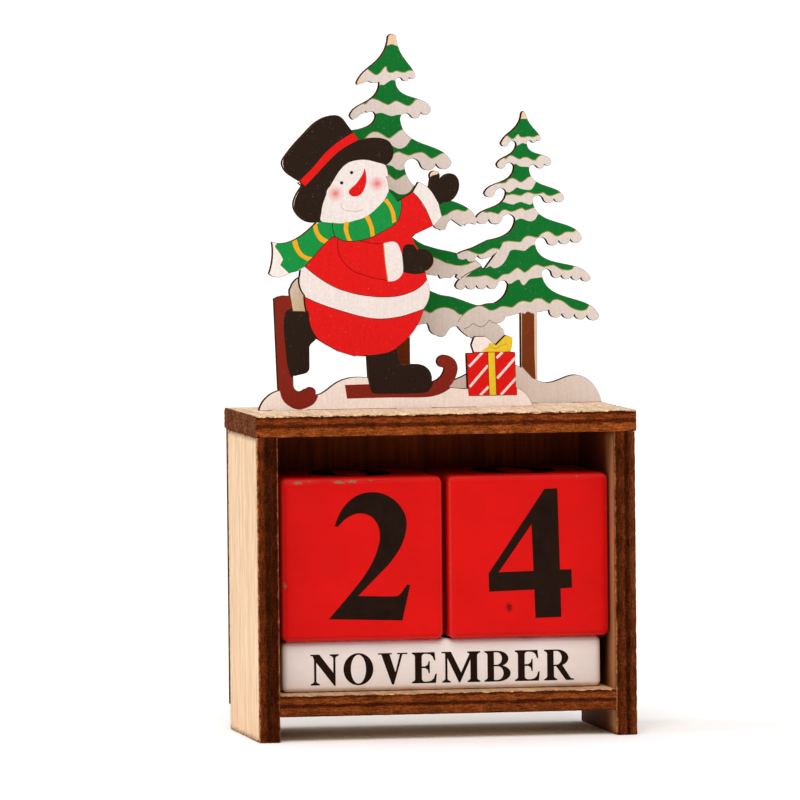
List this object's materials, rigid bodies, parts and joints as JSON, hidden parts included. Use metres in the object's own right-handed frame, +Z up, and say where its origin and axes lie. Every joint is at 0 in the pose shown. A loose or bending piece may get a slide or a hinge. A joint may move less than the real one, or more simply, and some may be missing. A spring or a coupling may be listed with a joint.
{
  "type": "block calendar",
  "caption": "Free-standing plywood desk calendar: an open-fronted frame with loose number cubes and month bars, topped by printed snowman and fir-tree cut-outs.",
  "frame": {"origin": "centre of the footprint on the surface that the feet stand on", "axes": "+X to the viewer's right, +Y from the open front to the back, +Z up"},
  "size_m": [0.0944, 0.0486, 0.1716],
  "materials": {
    "frame_ply": "raw birch plywood with laser-burnt edges",
    "thin_ply": "raw thin plywood",
    "printed_ply": "thin plywood printed on the front, burnt edges",
    "red_paint": "painted wood, satin",
    "white_paint": "painted wood, satin"
  },
  "bodies": {
    "frame": {"left_side": "frame_ply", "right_side": "frame_ply", "shelf": "frame_ply", "back_panel": "thin_ply", "top_board": "frame_ply", "tree_cutout": "printed_ply", "snowman_cutout": "printed_ply"},
    "left_cube": {"left_cube": "red_paint"},
    "right_cube": {"right_cube": "red_paint"},
    "front_bar": {"month_bar_front": "white_paint"},
    "middle_bar": {"month_bar_middle": "white_paint"},
    "rear_bar": {"month_bar_rear": "white_paint"}
  },
  "joints": [
    {"name": "left_cube_out", "type": "slide", "parent": "frame", "child": "left_cube", "axis": [0, -1, 0], "range_m": [0, 0.06]},
    {"name": "right_cube_out", "type": "slide", "parent": "frame", "child": "right_cube", "axis": [0, -1, 0], "range_m": [0, 0.06]},
    {"name": "front_bar_out", "type": "slide", "parent": "frame", "child": "front_bar", "axis": [0, -1, 0], "range_m": [0, 0.08]},
    {"name": "middle_bar_out", "type": "slide", "parent": "frame", "child": "middle_bar", "axis": [0, -1, 0], "range_m": [0, 0.064]},
    {"name": "rear_bar_out", "type": "slide", "parent": "frame", "child": "rear_bar", "axis": [0, -1, 0], "range_m": [0, 0.048]}
  ],
  "couplings": [
    {"joint": "middle_bar_out", "follows": "front_bar_out", "ratio": 0.8},
    {"joint": "rear_bar_out", "follows": "front_bar_out", "ratio": 0.6}
  ]
}
